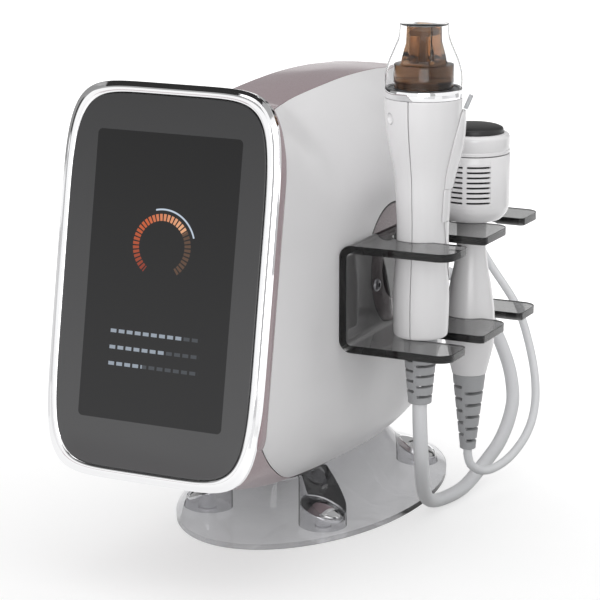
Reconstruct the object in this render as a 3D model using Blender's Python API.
# Radiofrequency microneedling machine: a desktop console on a clear base, with a tilted touch
# screen, a smoky holder on its right side, and two handpieces on cords.
# Metres, +Z up. The screen faces -Y, the holder is on the +X side, and the origin is the
# centre of the base on the surface that it stands on.
import math

import bmesh
import bpy
from mathutils import Matrix, Vector

# Clearances shared by the whole machine
GAP = 0.0003
OVERRUN = 0.004
SEAM = 0.0006

# Facets round a full turn: large round pieces, small ones, and the soft-cornered outlines
LARGE_STEPS = 20
SMALL_STEPS = 12
OUTLINE_STEPS = 40

# Screen: a 16:9 display of 8 inches under a bordered glass, in a chrome bezel
BODY_HALF_WIDTH = 0.075
SCREEN_TILT = math.radians(10.38)
SCREEN_Y = -0.21857
SCREEN_Z = 0.19639
DISPLAY_WIDTH_SHARE = 0.6626667
DISPLAY_HALF_WIDTH = DISPLAY_WIDTH_SHARE * BODY_HALF_WIDTH
BEZEL_INSET = 0.001
BEZEL_HALF_WIDTH = BODY_HALF_WIDTH - BEZEL_INSET
BEZEL_HALF_HEIGHT = 0.12195
DISPLAY_HEIGHT_SHARE = 0.7240672
DISPLAY_HALF_HEIGHT = DISPLAY_HEIGHT_SHARE * BEZEL_HALF_HEIGHT
BEZEL_DROP = 0.0035
BEZEL_WIDTH = 0.0074
BEZEL_DEPTH = 0.0055
BEZEL_CROWN = 0.0012
CORNER_POWER = 6.3
GLASS_THICKNESS = 0.002
LCD_THICKNESS = 0.006
LCD_BORDER = 0.005
BRACKET_THICKNESS = 0.0029
DISPLAY_BOARD_THICKNESS = 0.0015

# Console body
RIM_DEPTH = 0.0072
SHELL_THICKNESS = 0.003
BODY_REAR = 0.1225
STRIP_HALF_WIDTH = 0.025
BODY_TOP = 0.2945
BODY_BOTTOM = 0.0542
DISC_Y = -0.040
DISC_Z = 0.1785
DISC_RADIUS = 0.0395
DISC_SEAL_WIDTH = 0.0009
DISC_DEPTH = 0.0016
DISC_RECESS = 0.0013

# Clear base and its seat
BASE_MARGIN = 0.0066
BASE_HALF_WIDTH = BODY_HALF_WIDTH + BASE_MARGIN
BASE_HALF_LENGTH = 0.1378
BASE_EDGE = 0.0038
SEAT_Z = 0.040
SEAT_FRONT = -0.112
SEAT_REAR = 0.062
SEAT_HALF_WIDTH = 0.038
SEAT_CORNER_POWER = 4.0
PAD_THICKNESS = 0.0047
PAD_INSET = 0.0015
FOOT_X_SHARE = 0.5147059
FOOT_X = FOOT_X_SHARE * BASE_HALF_WIDTH
FOOT_Y = 0.077
FOOT_RADIUS = 0.0153
FOOT_FLOOR = 0.003
FOOT_STEM_RADIUS = 0.0055
FOOT_LEAN = 0.36
FOOT_TOP = 0.0150
FOOT_CROWN = 0.0028
FOOT_RIM = 0.0022

# Handpiece holder: a bent sheet on the right side
HOLDER_THICKNESS = 0.005
HOLDER_FRONT = -0.1228
HOLDER_BACK = 0.0355
HOLDER_TOP = 0.2065
HOLDER_LOW_SHELF = 0.1422
HOLDER_WIDTH = 0.075
HOLDER_REACH = BODY_HALF_WIDTH + HOLDER_WIDTH
HOLDER_BEND = 0.008
HOLDER_CORNER = 0.010
NEEDLE_MOUTH_HALF = 0.013
COOLING_MOUTH_HALF = 0.0115
NEEDLE_TOP_HOLE = 0.0186
NEEDLE_LOW_HOLE = 0.0135
COOLING_TOP_HOLE = 0.0178
COOLING_LOW_HOLE = 0.0172
HOLDER_SCREW_RADIUS = 0.0042
HOLDER_SCREW_HEAD = 0.0024

# Needle handpiece
NEEDLE_OUT = 0.0372
NEEDLE_X = BODY_HALF_WIDTH + NEEDLE_OUT
NEEDLE_Y = -0.078
NEEDLE_WALL = 0.002
NEEDLE_FOOT = HOLDER_LOW_SHELF + GAP
NEEDLE_LENGTH = 0.1535
NEEDLE_RING_LOW = NEEDLE_FOOT + NEEDLE_LENGTH
NEEDLE_RING_HEIGHT = 0.006
NEEDLE_RING_TOP = NEEDLE_RING_LOW + NEEDLE_RING_HEIGHT
NEEDLE_HEAD_RADIUS = 0.0245
NEEDLE_DECK_RADIUS = 0.0238
NEEDLE_DECK_THICKNESS = 0.003
NEEDLE_RELIEF_RADIUS = 0.0108
NEEDLE_RELIEF_TIP_RADIUS = 0.0077
NEEDLE_RELIEF_LENGTH = 0.0451
NEEDLE_RELIEF_TIP = NEEDLE_FOOT - NEEDLE_RELIEF_LENGTH
BUTTON_DROP = 0.012
BUTTON_Z = NEEDLE_RING_LOW - BUTTON_DROP
BUTTON_RADIUS = 0.0031
BUTTON_ANGLE = math.radians(-36)
BUTTON_LENGTH = 0.006
BUTTON_STROKE = 0.001
COVER_ANGLE = math.radians(118)
COVER_HALF_ANGLE = math.radians(42)
COVER_DROP = 0.0055
COVER_TOP = NEEDLE_RING_LOW - COVER_DROP
COVER_PROUD = 0.004
COVER_HEIGHT = 0.0515
HATCH_TOP = COVER_TOP - COVER_HEIGHT
HATCH_HEIGHT = 0.021
HATCH_LOW = HATCH_TOP - HATCH_HEIGHT
HATCH_HALF_ANGLE = math.radians(46)
HATCH_THICKNESS = 0.001
TAIL_HEIGHT = 0.038
TAIL_LOW = HATCH_LOW - TAIL_HEIGHT
TUBE_RADIUS = 0.0015
TUBE_LENGTH = 0.012
TUBE_LEAN_SHARE = 0.42
CARTRIDGE_RADIUS = 0.0189
CARTRIDGE_LOW = NEEDLE_RING_TOP + GAP
CARTRIDGE_HEIGHT = 0.0147
CARTRIDGE_TOP = CARTRIDGE_LOW + CARTRIDGE_HEIGHT
TIP_HALF = 0.0086
TIP_HEIGHT = 0.024
TIP_TOP = CARTRIDGE_TOP + TIP_HEIGHT
TIP_WALL = 0.0014
CARTRIDGE_TRAVEL = 0.050
PLATE_TRAVEL = 0.003
PLATE_THICKNESS = 0.003
CAP_CLEARANCE = 0.0014
CAP_TOP = TIP_TOP + CAP_CLEARANCE
CAP_WALL = 0.0009
CAP_TRAVEL = 0.050
MOTOR_RADIUS = 0.010
MOTOR_LENGTH = 0.052
MOTOR_DROP = 0.008
MOTOR_TOP = NEEDLE_RING_LOW - MOTOR_DROP

# Cooling handpiece
COOLING_OUT = 0.0431
COOLING_X = BODY_HALF_WIDTH + COOLING_OUT
COOLING_Y = -0.0084
COOLING_WALL = 0.002
HEAD_RADIUS = 0.0246
HEAD_LOW = HOLDER_TOP + GAP
HEAD_HEIGHT = 0.0436
HEAD_SEAM = HEAD_LOW + HEAD_HEIGHT
RIM_RADIUS = 0.0242
RIM_HEIGHT = 0.0136
RIM_TOP = HEAD_SEAM + RIM_HEIGHT
DOME_RADIUS = 0.0200
DOME_HEIGHT = 0.0054
DOME_TOP = RIM_TOP + DOME_HEIGHT
HANDLE_LENGTH = 0.1058
HANDLE_LOW = HEAD_LOW - HANDLE_LENGTH
NECK_RADIUS = 0.0096
COOLING_RELIEF_RADIUS = 0.0109
COOLING_RELIEF_TIP_RADIUS = 0.0054
COOLING_RELIEF_LENGTH = 0.0528
COOLING_RELIEF_TIP = HANDLE_LOW - COOLING_RELIEF_LENGTH
VENT_ROWS = 8
VENT_PITCH = 0.00335
VENT_HEIGHT = 0.0013
VENT_DROP = 0.0064
VENT_TOP = HEAD_SEAM - VENT_DROP
VENT_STARTS = (math.radians(-30.6), math.radians(13.0))
VENT_SPAN = math.radians(37.6)
SINK_RADIUS = 0.0172
SINK_CORE = 0.0090
SINK_FINS = 6
SINK_FIN_THICKNESS = 0.0014
COOLER_HALF = 0.0120
COOLER_THICKNESS = 0.0036

# Cords
NEEDLE_CORD_RADIUS = 0.0048
COOLING_CORD_RADIUS = 0.00295
SOCKET_INSET = 0.014
REAR_WIDTH_SHARE = 0.56
SOCKET_X = REAR_WIDTH_SHARE * BODY_HALF_WIDTH - SOCKET_INSET
NEEDLE_SOCKET_Z = 0.128
COOLING_SOCKET_Z = 0.172
SOCKET_RADIUS = 0.0115
SOCKET_FLANGE = 0.003
SOCKET_NOSE = 0.010
PLUG_RADIUS = 0.0085
PLUG_LENGTH = 0.019
CORD_LEAD = 0.004

# Rear panel and what is on it
PANEL_THICKNESS = 0.0025
FAN_X = -0.004
FAN_Z = 0.222
FAN_HALF = 0.020
FAN_DEPTH = 0.010
FAN_BLADES = 7
FAN_HUB_RADIUS = 0.008
FAN_PIN_RADIUS = 0.0015
FAN_BLADE_THICKNESS = 0.0009
INLET_X = -0.017
INLET_Z = 0.118
INLET_HALF_WIDTH = 0.0135
INLET_HALF_HEIGHT = 0.0100
SWITCH_Z = 0.147
SWITCH_HALF_WIDTH = 0.0095
SWITCH_HALF_HEIGHT = 0.0065
SWITCH_TILT = math.radians(9)

# Inside
TRAY_Z = 0.060
TRAY_THICKNESS = 0.0015
TRAY_HALF_WIDTH = 0.036
TRAY_FRONT = -0.118
TRAY_REAR = 0.045
BOARD_THICKNESS = 0.0016
STANDOFF_HEIGHT = 0.006
STANDOFF_RADIUS = 0.003
SUPPLY_HEIGHT = 0.038


def material(name, colour, roughness, metallic=0.0, alpha=1.0):
    made = bpy.data.materials.new(name)
    made.use_nodes = True
    shader = made.node_tree.nodes["Principled BSDF"]
    shader.inputs["Base Color"].default_value = (*colour, 1.0)
    shader.inputs["Roughness"].default_value = roughness
    shader.inputs["Metallic"].default_value = metallic
    shader.inputs["Alpha"].default_value = alpha
    made.diffuse_color = (*colour, alpha)
    return made


def clear_scene():
    for old in list(bpy.data.objects):
        bpy.data.objects.remove(old, do_unlink=True)


def blank(name, place):
    empty = bpy.data.objects.new(name, None)
    empty.location = place
    bpy.context.collection.objects.link(empty)
    return empty


def finish_mesh(name, shape, look, parent=None):
    """Turns a bmesh into a linked object with outward faces and round parts shaded smooth."""
    bmesh.ops.recalc_face_normals(shape, faces=shape.faces)
    mesh = bpy.data.meshes.new(name)
    shape.to_mesh(mesh)
    shape.free()
    mesh.shade_smooth()
    mesh.set_sharp_from_angle(angle=math.radians(35))
    obj = bpy.data.objects.new(name, mesh)
    bpy.context.collection.objects.link(obj)
    obj.parent = parent
    if look:
        mesh.materials.append(look)
    return obj


def skin(name, rings, look, parent=None, wrap_rings=False, caps=True, wrap_points=True):
    """Joins equal rings of points into one closed body. With wrap_rings the last meets the first."""
    shape = bmesh.new()
    rows = [[shape.verts.new(point) for point in ring] for ring in rings]
    count = len(rings[0])
    row_pairs = list(zip(rows, rows[1:]))
    if wrap_rings:
        row_pairs.append((rows[-1], rows[0]))
    for low, high in row_pairs:
        for i in range(count if wrap_points else count - 1):
            j = (i + 1) % count
            shape.faces.new((low[i], low[j], high[j], high[i]))
    if caps and not wrap_rings:
        shape.faces.new(rows[0])
        shape.faces.new(rows[-1])
    return finish_mesh(name, shape, look, parent)


def turned(name, profile, look, parent=None, steps=LARGE_STEPS, start=0.0, sweep=math.tau):
    """Turns a closed (radius, height) profile about Z. A part turn is closed by its two end faces."""
    full = sweep == math.tau
    turns = steps if full else steps + 1
    shape = bmesh.new()
    columns = []
    for k in range(turns):
        angle = start + sweep * k / steps
        column = []
        for i, (radius, height) in enumerate(profile):
            if radius == 0 and k > 0:
                column.append(columns[0][i])
            else:
                place = (radius * math.sin(angle), -radius * math.cos(angle), height)
                column.append(shape.verts.new(place))
        columns.append(column)
    pairs = list(zip(columns, columns[1:]))
    if full:
        pairs.append((columns[-1], columns[0]))
    for left, right in pairs:
        for i in range(len(profile)):
            j = (i + 1) % len(profile)
            corners = [left[i], left[j], right[j], right[i]]
            distinct = [v for n, v in enumerate(corners) if v not in corners[:n]]
            if len(distinct) > 2:
                shape.faces.new(distinct)
    if not full:
        shape.faces.new(columns[0])
        shape.faces.new(columns[-1])
    return finish_mesh(name, shape, look, parent)


def prism(name, outline, low, high, look, parent=None, axis="Z"):
    """Extrudes a flat outline between two places along X, Y or Z."""
    place = {
        "X": lambda a, b, c: (c, a, b),
        "Y": lambda a, b, c: (a, c, b),
        "Z": lambda a, b, c: (a, b, c),
    }[axis]
    rings = [[place(a, b, level) for a, b in outline] for level in (low, high)]
    return skin(name, rings, look, parent)


def block(name, low, high, look, parent=None):
    outline = [(low[0], low[1]), (high[0], low[1]), (high[0], high[1]), (low[0], high[1])]
    return prism(name, outline, low[2], high[2], look, parent)


def circle(radius, steps=SMALL_STEPS, centre=(0.0, 0.0)):
    turns = [math.tau * k / steps for k in range(steps)]
    return [(centre[0] + radius * math.cos(t), centre[1] + radius * math.sin(t)) for t in turns]


def filleted(corners, steps=4):
    """Rounds each (x, y, radius) corner of an outline with an arc."""
    points = []
    for i, (x, y, radius) in enumerate(corners):
        here = Vector((x, y))
        back = (Vector(corners[i - 1][:2]) - here).normalized()
        ahead = (Vector(corners[(i + 1) % len(corners)][:2]) - here).normalized()
        if radius == 0:
            points.append((x, y))
            continue
        half = back.angle(ahead) / 2
        centre = here + (back + ahead).normalized() * radius / math.sin(half)
        first = here + back * radius / math.tan(half) - centre
        last = here + ahead * radius / math.tan(half) - centre
        for k in range(steps + 1):
            spoke = first.lerp(last, k / steps).normalized() * radius
            points.append(tuple(centre + spoke))
    return points


def rounded_box(name, low, high, radius, look, parent=None, axis="Z"):
    """A block whose four corners along the axis are round."""
    first, second, along = {"X": (1, 2, 0), "Y": (0, 2, 1), "Z": (0, 1, 2)}[axis]
    ends = [(low[first], low[second]), (high[first], low[second])]
    ends += [(high[first], high[second]), (low[first], high[second])]
    outline = filleted([(*end, radius) for end in ends])
    return prism(name, outline, low[along], high[along], look, parent, axis)


def helper(obj):
    obj.hide_render = True
    obj.display_type = "WIRE"
    return obj


def boolean(obj, other, operation="DIFFERENCE"):
    change = obj.modifiers.new(other.name, "BOOLEAN")
    change.operation = operation
    change.object = helper(other)
    change.solver = "EXACT"


def joined(name, objects):
    """Puts the meshes of separate closed shapes into one helper, so that one cut uses them all."""
    shape = bmesh.new()
    for obj in objects:
        shape.from_mesh(obj.data)
        bpy.data.objects.remove(obj, do_unlink=True)
    mesh = bpy.data.meshes.new(name)
    shape.to_mesh(mesh)
    shape.free()
    obj = bpy.data.objects.new(name, mesh)
    bpy.context.collection.objects.link(obj)
    return obj


def blend_of(table, share):
    """Reads a smooth value between the chosen (share, value) points of a table."""
    if share <= table[0][0]:
        return table[0][1]
    for i in range(len(table) - 1):
        (s0, v0), (s1, v1) = table[i], table[i + 1]
        if share <= s1:
            before = table[max(i - 1, 0)]
            after = table[min(i + 2, len(table) - 1)]
            slope0 = (v1 - before[1]) / (s1 - before[0])
            slope1 = (after[1] - v0) / (after[0] - s0)
            t = (share - s0) / (s1 - s0)
            span = s1 - s0
            return (
                (2 * t**3 - 3 * t**2 + 1) * v0
                + (t**3 - 2 * t**2 + t) * span * slope0
                + (3 * t**2 - 2 * t**3) * v1
                + (t**3 - t**2) * span * slope1
            )
    return table[-1][1]


def bezier(p0, p1, p2, p3, steps):
    """Points along a cubic curve, without its first one."""
    points = []
    for k in range(1, steps + 1):
        t = k / steps
        parts = ((1 - t) ** 3, 3 * t * (1 - t) ** 2, 3 * t * t * (1 - t), t**3)
        points.append(sum((c * p for c, p in zip(parts, (p0, p1, p2, p3))), Vector((0.0, 0.0))))
    return points


# The console's form is a loft of 15 sections, from the screen's rim to the rear panel. Each
# section is one row of shares: the places of its top and bottom along the body, then its
# seam's half-width and height, crown, widest half-width, the heights where the flat side
# starts and ends, and the bottom seam's half-width and height and the keel's height.
SECTION_SHARES = (
    (-1.5217, -1.8210, 2.48, 1.0183, 1.0492, 0.984, 0.866, 0.373, 0.955, 1.841, 1.328),
    (-1.437, -1.722, 2.24, 1.0115, 1.0356, 0.987, 0.849, 0.380, 0.920, 1.642, 1.218),
    (-1.322, -1.600, 2.00, 1.0048, 1.0221, 0.989, 0.832, 0.390, 0.873, 1.458, 1.125),
    (-1.151, -1.412, 1.60, 0.9939, 1.0051, 0.993, 0.798, 0.401, 0.800, 1.236, 0.996),
    (-1.020, -1.282, 1.32, 0.9868, 0.9949, 0.996, 0.774, 0.407, 0.780, 1.144, 0.932),
    (-0.882, -1.086, 1.10, 0.9834, 0.9888, 1.0, 0.754, 0.407, 0.773, 1.089, 0.886),
    (-0.686, -0.816, 1.00, 0.9885, 0.9922, 1.0, 0.747, 0.401, 0.773, 1.039, 0.849),
    (-0.367, -0.424, 1.00, 0.9959, 0.9997, 1.0, 0.747, 0.394, 0.773, 0.993, 0.830),
    (-0.041, -0.065, 1.00, 1.0000, 1.0034, 1.0, 0.747, 0.394, 0.773, 1.000, 0.830),
    (0.286, 0.245, 1.00, 0.9969, 1.0003, 0.987, 0.740, 0.401, 0.760, 1.079, 0.849),
    (0.539, 0.490, 1.00, 0.9895, 0.9929, 0.933, 0.730, 0.414, 0.720, 1.208, 0.923),
    (0.735, 0.686, 1.00, 0.9820, 0.9854, 0.827, 0.713, 0.435, 0.653, 1.384, 1.107),
    (0.873, 0.824, 0.96, 0.9660, 0.9691, 0.720, 0.700, 0.455, 0.587, 1.587, 1.328),
    (0.963, 0.922, 0.88, 0.9270, 0.9297, 0.627, 0.686, 0.475, 0.520, 1.790, 1.550),
    (1.0, 1.0, 0.82, 0.8896, 0.8913, REAR_WIDTH_SHARE, 0.679, 0.492, 0.480, 1.937, 1.716),
)
# How each section's shoulder and corners bend, between the rim, the middle and the rear
SHOULDER_SLOPES = ((0.0, math.radians(52)), (5.0, math.radians(31)), (11.0, math.radians(31)),
                   (14.0, math.radians(44)))
TOP_POWERS = ((0.0, 6.0), (5.0, 2.0), (14.0, 2.0))
KEEL_POWERS = ((0.0, 6.0), (5.0, 2.6), (14.0, 2.6))
TOP_STEPS = 3
SHOULDER_STEPS = 6
SIDE_STEPS = 2
BELLY_STEPS = 3
KEEL_STEPS = 3
SHOULDER_PULL = 0.55
BELLY_PULL = 0.55
BELLY_ANGLE = math.radians(42)


def half_section(index):
    """One section's right half as (x, z) points from the crown to the keel, and its seams' places."""
    shares = SECTION_SHARES[index]
    seam = Vector((shares[2] * STRIP_HALF_WIDTH, shares[3] * BODY_TOP))
    crown = shares[4] * BODY_TOP
    widest = shares[5] * BODY_HALF_WIDTH
    shoulder = shares[6] * BODY_TOP
    belly = shares[7] * BODY_TOP
    low = Vector((shares[8] * BODY_HALF_WIDTH, shares[9] * BODY_BOTTOM))
    keel = shares[10] * BODY_BOTTOM
    slope = blend_of(SHOULDER_SLOPES, index)
    top_power = blend_of(TOP_POWERS, index)
    keel_power = blend_of(KEEL_POWERS, index)
    points = []
    for k in range(TOP_STEPS + 1):
        share = math.sin(math.pi / 2 * k / TOP_STEPS)
        points.append(Vector((seam.x * share, crown - (crown - seam.y) * share**top_power)))
    reach = SHOULDER_PULL * (widest - seam.x) / math.cos(slope)
    handle = seam + reach * Vector((math.cos(slope), -math.sin(slope)))
    flat_start = Vector((widest, shoulder))
    above = flat_start + Vector((0, SHOULDER_PULL * (handle.y - shoulder)))
    points.append(seam.copy())
    points += bezier(seam, handle, above, flat_start, SHOULDER_STEPS)
    flat_end = Vector((widest, belly))
    points += [flat_start.lerp(flat_end, k / SIDE_STEPS) for k in range(1, SIDE_STEPS + 1)]
    below = flat_end - Vector((0, BELLY_PULL * (belly - low.y)))
    tuck = BELLY_PULL * (belly - low.y) * (1 - low.x / widest) ** 0.5
    inward = low + tuck * Vector((math.cos(BELLY_ANGLE), math.sin(BELLY_ANGLE)))
    points += bezier(flat_end, below, inward, low, BELLY_STEPS)
    for k in range(KEEL_STEPS + 1):
        share = math.cos(math.pi / 2 * k / KEEL_STEPS)
        points.append(Vector((low.x * share, keel + (low.y - keel) * share**keel_power)))
    return points


TOP_SEAM = TOP_STEPS
LOW_SEAM = TOP_SEAM + 1 + SHOULDER_STEPS + SIDE_STEPS + BELLY_STEPS


def section_ring(index, forward=0.0):
    """A whole section in space. forward moves it along the screen's normal, for the rim."""
    shares = SECTION_SHARES[index]
    half = half_section(index)
    top_z = shares[3] * BODY_TOP
    low_z = shares[9] * BODY_BOTTOM
    top_y = shares[0] * BODY_REAR
    low_y = shares[1] * BODY_REAR
    ring = []
    for x, z in half:
        y = low_y + (top_y - low_y) * (z - low_z) / (top_z - low_z)
        ring.append(Vector((x, y, z)))
    push = forward * Vector((0, -math.cos(SCREEN_TILT), math.sin(SCREEN_TILT)))
    right = [point + push for point in ring]
    left = [Vector((-p.x, p.y, p.z)) for p in reversed(right[1:-1])]
    return right + left


def body_rings():
    rings = [section_ring(0, RIM_DEPTH)]
    rings += [section_ring(k) for k in range(len(SECTION_SHARES))]
    return rings


def column_normals(rings):
    """Outward normals at every point. The two columns at a seam share one, so walls stay parallel."""
    count = len(rings[0])
    twins = {TOP_SEAM, LOW_SEAM, count - TOP_SEAM - 1, count - LOW_SEAM - 1}
    normals = []
    for r, ring in enumerate(rings):
        back = rings[max(r - 1, 0)]
        ahead = rings[min(r + 1, len(rings) - 1)]
        row = []
        for i in range(count):
            before = ring[i - 1]
            after = ring[(i + 1) % count]
            if (before - ring[i]).length < SEAM:
                before = ring[i - 2]
            if (after - ring[i]).length < SEAM:
                after = ring[(i + 2) % count]
            around = (after - ring[i]).normalized() + (ring[i] - before).normalized()
            along = ahead[i] - back[i]
            normal = along.cross(around).normalized()
            row.append(normal)
        for i in twins:
            j = (i + 1) % count
            shared = (row[i] + row[j]).normalized()
            row[i] = shared
            row[j] = shared
        if row[0].z < 0:
            row = [-normal for normal in row]
        normals.append(row)
    return normals


def inner_rings(rings, normals, thickness):
    """Moves every section inward by the wall, kept square to the body's length at both ends."""
    result = []
    for ring, row in zip(rings, normals):
        result.append([point - normal * thickness for point, normal in zip(ring, row)])
    return result


def open_seams(rings):
    """Draws the two columns at each seam apart along the skin, which leaves the parting gap."""
    count = len(rings[0])
    opened = [list(ring) for ring in rings]
    pairs = (
        (TOP_SEAM, TOP_SEAM - 1, TOP_SEAM + 2),
        (LOW_SEAM, LOW_SEAM - 1, LOW_SEAM + 2),
        (count - LOW_SEAM - 1, count - LOW_SEAM - 2, count - LOW_SEAM + 1),
        (count - TOP_SEAM - 1, count - TOP_SEAM - 2, count - TOP_SEAM + 1),
    )
    for ring, result in zip(rings, opened):
        for first, inner, outer in pairs:
            second = (first + 1) % count
            back = (ring[inner] - ring[first]).normalized()
            ahead = (ring[outer % count] - ring[second]).normalized()
            result[first] = ring[first] + back * SEAM / 2
            result[second] = ring[second] + ahead * SEAM / 2
    return opened


def wall_of(name, outer, inner, cells, look):
    """Builds a closed wall over the chosen (section, column) cells of the body's skin."""
    shape = bmesh.new()
    made = {}
    count = len(outer[0])

    def corner(r, i, inside):
        key = (r, i % count, inside)
        if key not in made:
            made[key] = shape.verts.new((inner if inside else outer)[r][i % count])
        return made[key]

    chosen = set(cells)
    for r, i in cells:
        square = ((r, i), (r, i + 1), (r + 1, i + 1), (r + 1, i))
        shape.faces.new([corner(a, b, False) for a, b in square])
        shape.faces.new([corner(a, b, True) for a, b in reversed(square)])
        sides = (
            ((r - 1, i), square[0], square[1]),
            ((r, (i + 1) % count), square[1], square[2]),
            ((r + 1, i), square[2], square[3]),
            ((r, (i - 1) % count), square[3], square[0]),
        )
        for neighbour, (a, b), (c, d) in sides:
            if neighbour not in chosen:
                rim = [corner(a, b, False), corner(c, d, False), corner(c, d, True), corner(a, b, True)]
                shape.faces.new(rim)
    return finish_mesh(name, shape, look)


def tilted(x, v, depth=0.0):
    """A point of the screen's plane: x across, v up it, depth out of it."""
    return Vector((
        x,
        SCREEN_Y + v * math.sin(SCREEN_TILT) - depth * math.cos(SCREEN_TILT),
        SCREEN_Z + v * math.cos(SCREEN_TILT) + depth * math.sin(SCREEN_TILT),
    ))


def screen_outline(half_width, half_height, steps=OUTLINE_STEPS):
    """Points round a soft-cornered rectangle, spaced evenly in angle near its corners."""
    points = []
    for k in range(steps):
        turn = math.tau * (k + 0.5) / steps
        a = math.cos(turn)
        b = math.sin(turn)
        x = math.copysign(abs(a) ** (2 / CORNER_POWER), a)
        v = math.copysign(abs(b) ** (2 / CORNER_POWER), b)
        points.append((x * half_width, v * half_height - BEZEL_DROP))
    return points


def build_body(looks):
    rings = body_rings()
    normals = column_normals(rings)
    outer = open_seams(rings)
    inner = inner_rings(outer, normals, SHELL_THICKNESS)
    count = len(outer[0])
    last = len(outer) - 1
    top = set(range(0, TOP_SEAM)) | set(range(count - TOP_SEAM, count))
    low = set(range(LOW_SEAM + 1, count - LOW_SEAM - 1))
    rim = [(0, i) for i in range(count)]
    strip = [(r, i) for r in range(1, last) for i in sorted(top | low)]
    wall_of("rose_centre_frame", outer, inner, rim + strip, looks["rose"])
    right = [(r, i) for r in range(1, last) for i in range(TOP_SEAM + 1, LOW_SEAM)]
    left = [(r, count - 1 - i) for r, i in right]
    gap_front = [list(ring) for ring in outer]
    gap_inner = [list(ring) for ring in inner]
    step = rings[2][0] - rings[1][0]
    share = SEAM / step.length
    gap_front[1] = [a.lerp(b, share) for a, b in zip(outer[1], outer[2])]
    gap_inner[1] = [a.lerp(b, share) for a, b in zip(inner[1], inner[2])]
    right_shell = wall_of("right_side_shell", gap_front, gap_inner, right, looks["white"])
    left_shell = wall_of("left_side_shell", gap_front, gap_inner, left, looks["white"])
    return right_shell, left_shell


def build_discs(looks, right_shell, left_shell):
    """A flush mauve disc in a shallow recess on each side, with a thin black seal round it."""
    outer_radius = DISC_RADIUS + DISC_SEAL_WIDTH
    for side, shell in ((1, right_shell), (-1, left_shell)):
        tag = "right" if side > 0 else "left"
        floor = BODY_HALF_WIDTH - DISC_RECESS
        ends = sorted((side * floor, side * (BODY_HALF_WIDTH + OVERRUN)))
        centre = (DISC_Y, DISC_Z)
        recess = prism("disc_recess_" + tag, circle(outer_radius + GAP, LARGE_STEPS, centre), *ends,
                       None, axis="X")
        boolean(shell, recess)
        faces = sorted((side * (floor + GAP), side * BODY_HALF_WIDTH))
        prism(tag + "_side_disc", circle(DISC_RADIUS - GAP, LARGE_STEPS, centre), *faces,
              looks["mauve"], axis="X")
        rings = []
        for radius, x in (
            (DISC_RADIUS, faces[0]), (outer_radius, faces[0]), (outer_radius, faces[1]),
            (DISC_RADIUS, faces[1])
        ):
            rings.append([(x, y, z) for y, z in circle(radius, LARGE_STEPS, centre)])
        skin(tag + "_disc_seal", rings, looks["black"], wrap_rings=True)


def build_screen(looks):
    """Bezel and glass, the display right behind the glass, its bracket round it and its board behind."""
    profile = (
        (0.0, -BEZEL_DEPTH), (0.0, -0.35 * BEZEL_DEPTH), (0.09 * BEZEL_WIDTH, -0.05 * BEZEL_DEPTH),
        (0.22 * BEZEL_WIDTH, 0.12 * BEZEL_CROWN), (0.30 * BEZEL_WIDTH, -0.35 * BEZEL_CROWN),
        (0.40 * BEZEL_WIDTH, 0.45 * BEZEL_CROWN), (0.62 * BEZEL_WIDTH, BEZEL_CROWN),
        (0.86 * BEZEL_WIDTH, 0.6 * BEZEL_CROWN), (BEZEL_WIDTH - GAP, -0.5 * BEZEL_CROWN),
        (BEZEL_WIDTH - GAP, -BEZEL_DEPTH),
    )
    rings = []
    for inset, depth in profile:
        outline = screen_outline(BEZEL_HALF_WIDTH - inset, BEZEL_HALF_HEIGHT - inset)
        rings.append([tilted(x, v, depth) for x, v in outline])
    skin("chrome_bezel", rings, looks["chrome"], wrap_rings=True)
    glass_width = BEZEL_HALF_WIDTH - BEZEL_WIDTH
    glass_height = BEZEL_HALF_HEIGHT - BEZEL_WIDTH
    outline = screen_outline(glass_width, glass_height)
    behind = GLASS_THICKNESS + GAP
    skin("touch_glass", [[tilted(x, v, -d) for x, v in outline] for d in (0.0, GLASS_THICKNESS)],
         looks["glass"])
    depths = (behind, behind + BRACKET_THICKNESS)
    bracket = skin("display_bracket", [[tilted(x, v, -d) for x, v in outline] for d in depths],
                   looks["black"])
    corners = ((-1, -1), (1, -1), (1, 1), (-1, 1))
    lcd_width = DISPLAY_HALF_WIDTH + LCD_BORDER
    lcd_height = DISPLAY_HALF_HEIGHT + LCD_BORDER

    def plate(name, width, height, front, depth, look):
        rings = [[tilted(a * width, b * height, -d) for a, b in corners] for d in (front, front + depth)]
        return skin(name, rings, look)

    window = plate("display_window", lcd_width + GAP, lcd_height + GAP, -OVERRUN, 3 * OVERRUN, None)
    boolean(bracket, window)
    plate("display_panel", lcd_width, lcd_height, behind, LCD_THICKNESS, looks["dark"])
    plate("display_board", DISPLAY_HALF_WIDTH, DISPLAY_HALF_HEIGHT, behind + LCD_THICKNESS + GAP,
          DISPLAY_BOARD_THICKNESS, looks["board"])


# The base's surface: each row is the share from the rim in to the seat, and the share of the
# climb from the edge up to the seat
FLARE_SHARES = ((0.0, 0.0), (0.20, 0.17), (0.42, 0.30), (0.64, 0.48), (0.84, 0.74), (1.0, 1.0))
BASE_STEPS = 36


def seat_point(turn, inset=0.0):
    middle = (SEAT_FRONT + SEAT_REAR) / 2
    half_length = (SEAT_REAR - SEAT_FRONT) / 2 - inset
    a = math.cos(turn)
    b = math.sin(turn)
    x = math.copysign(abs(a) ** (2 / SEAT_CORNER_POWER), a) * (SEAT_HALF_WIDTH - inset)
    y = math.copysign(abs(b) ** (2 / SEAT_CORNER_POWER), b) * half_length
    return Vector((x, y + middle))


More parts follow.
